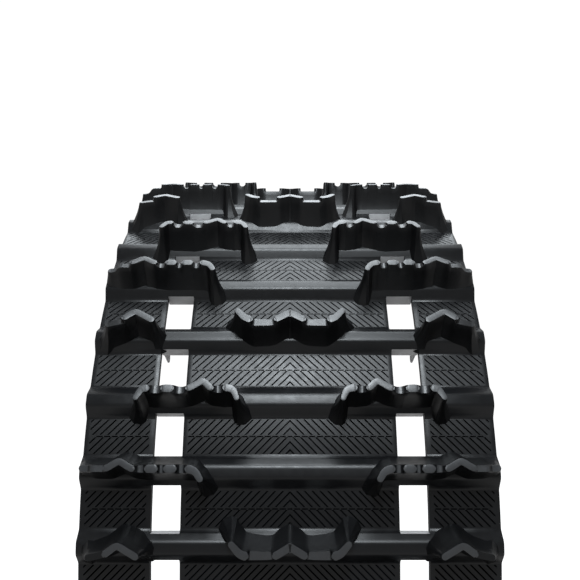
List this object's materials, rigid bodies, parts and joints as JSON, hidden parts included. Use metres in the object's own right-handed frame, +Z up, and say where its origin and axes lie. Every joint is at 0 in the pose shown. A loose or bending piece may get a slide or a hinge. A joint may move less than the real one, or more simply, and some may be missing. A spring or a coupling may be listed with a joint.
{
  "type": "rubber snowmobile track",
  "caption": "Endless rubber track loop with cross rods, steel window clips, inner drive lugs and tall chevron tread paddles, flexing as a loop.",
  "frame": {"origin": "on the ground, under the middle of the loop", "axes": "+X across the belt, +Y towards the rear of the loop, +Z up"},
  "size_m": [0.381, 1.1998, 0.8164],
  "materials": {
    "belt_rubber": "satin moulded rubber",
    "paddle_rubber": "satin moulded rubber",
    "lug_rubber": "matt moulded rubber",
    "clip_steel": "pressed zinc-plated steel",
    "rod_glassfibre": "pultruded glass fibre"
  },
  "bodies": {
    "front_upper": {"front_upper_carcass": "belt_rubber", "front_upper_rods": "rod_glassfibre", "front_upper_plain_clips": "clip_steel", "front_upper_guide_clips": "clip_steel", "front_upper_drive_lugs": "lug_rubber", "front_upper_centre_paddles": "paddle_rubber", "front_upper_edge_paddles": "paddle_rubber", "front_upper_wide_paddles": "paddle_rubber", "front_upper_inboard_paddles": "paddle_rubber"},
    "top_run": {"top_run_carcass": "belt_rubber", "top_run_rods": "rod_glassfibre", "top_run_plain_clips": "clip_steel", "top_run_guide_clips": "clip_steel", "top_run_drive_lugs": "lug_rubber", "top_run_centre_paddles": "paddle_rubber", "top_run_edge_paddles": "paddle_rubber", "top_run_wide_paddles": "paddle_rubber", "top_run_inboard_paddles": "paddle_rubber"},
    "rear_upper": {"rear_upper_carcass": "belt_rubber", "rear_upper_rods": "rod_glassfibre", "rear_upper_plain_clips": "clip_steel", "rear_upper_guide_clips": "clip_steel", "rear_upper_drive_lugs": "lug_rubber", "rear_upper_centre_paddles": "paddle_rubber", "rear_upper_edge_paddles": "paddle_rubber", "rear_upper_wide_paddles": "paddle_rubber", "rear_upper_inboard_paddles": "paddle_rubber"},
    "rear_lower": {"rear_lower_carcass": "belt_rubber", "rear_lower_rods": "rod_glassfibre", "rear_lower_plain_clips": "clip_steel", "rear_lower_guide_clips": "clip_steel", "rear_lower_drive_lugs": "lug_rubber", "rear_lower_centre_paddles": "paddle_rubber", "rear_lower_edge_paddles": "paddle_rubber", "rear_lower_wide_paddles": "paddle_rubber", "rear_lower_inboard_paddles": "paddle_rubber"},
    "bottom_run": {"bottom_run_carcass": "belt_rubber", "bottom_run_rods": "rod_glassfibre", "bottom_run_plain_clips": "clip_steel", "bottom_run_guide_clips": "clip_steel", "bottom_run_drive_lugs": "lug_rubber", "bottom_run_centre_paddles": "paddle_rubber", "bottom_run_edge_paddles": "paddle_rubber", "bottom_run_wide_paddles": "paddle_rubber", "bottom_run_inboard_paddles": "paddle_rubber"},
    "front_lower": {"front_lower_carcass": "belt_rubber", "front_lower_rods": "rod_glassfibre", "front_lower_plain_clips": "clip_steel", "front_lower_guide_clips": "clip_steel", "front_lower_drive_lugs": "lug_rubber", "front_lower_centre_paddles": "paddle_rubber", "front_lower_edge_paddles": "paddle_rubber", "front_lower_wide_paddles": "paddle_rubber", "front_lower_inboard_paddles": "paddle_rubber"}
  },
  "joints": [
    {"name": "front_lower_flex", "type": "hinge", "parent": "bottom_run", "child": "front_lower", "pos_m": [0, -0.192, 0.0415], "axis": [1, 0, 0], "range_deg": [-5, 8], "stiffness_Nm_per_rad": 900, "springref_deg": -6.3},
    {"name": "front_nose_flex", "type": "hinge", "parent": "front_lower", "child": "front_upper", "pos_m": [0, -0.55869, 0.40819], "axis": [1, 0, 0], "range_deg": [-16, 10]},
    {"name": "front_top_flex", "type": "hinge", "parent": "front_upper", "child": "top_run", "pos_m": [0, -0.192, 0.77489], "axis": [1, 0, 0], "range_deg": [-5, 8]},
    {"name": "rear_lower_flex", "type": "hinge", "parent": "bottom_run", "child": "rear_lower", "pos_m": [0, 0.192, 0.0415], "axis": [1, 0, 0], "range_deg": [-8, 5]},
    {"name": "rear_nose_flex", "type": "hinge", "parent": "rear_lower", "child": "rear_upper", "pos_m": [0, 0.55869, 0.40819], "axis": [1, 0, 0], "range_deg": [-10, 16]}
  ],
  "couplings": [
    {"joint": "front_nose_flex", "follows": "front_lower_flex", "ratio": -2},
    {"joint": "front_top_flex", "follows": "front_lower_flex", "ratio": 1},
    {"joint": "rear_lower_flex", "follows": "front_lower_flex", "ratio": -1},
    {"joint": "rear_nose_flex", "follows": "front_lower_flex", "ratio": 2}
  ]
}
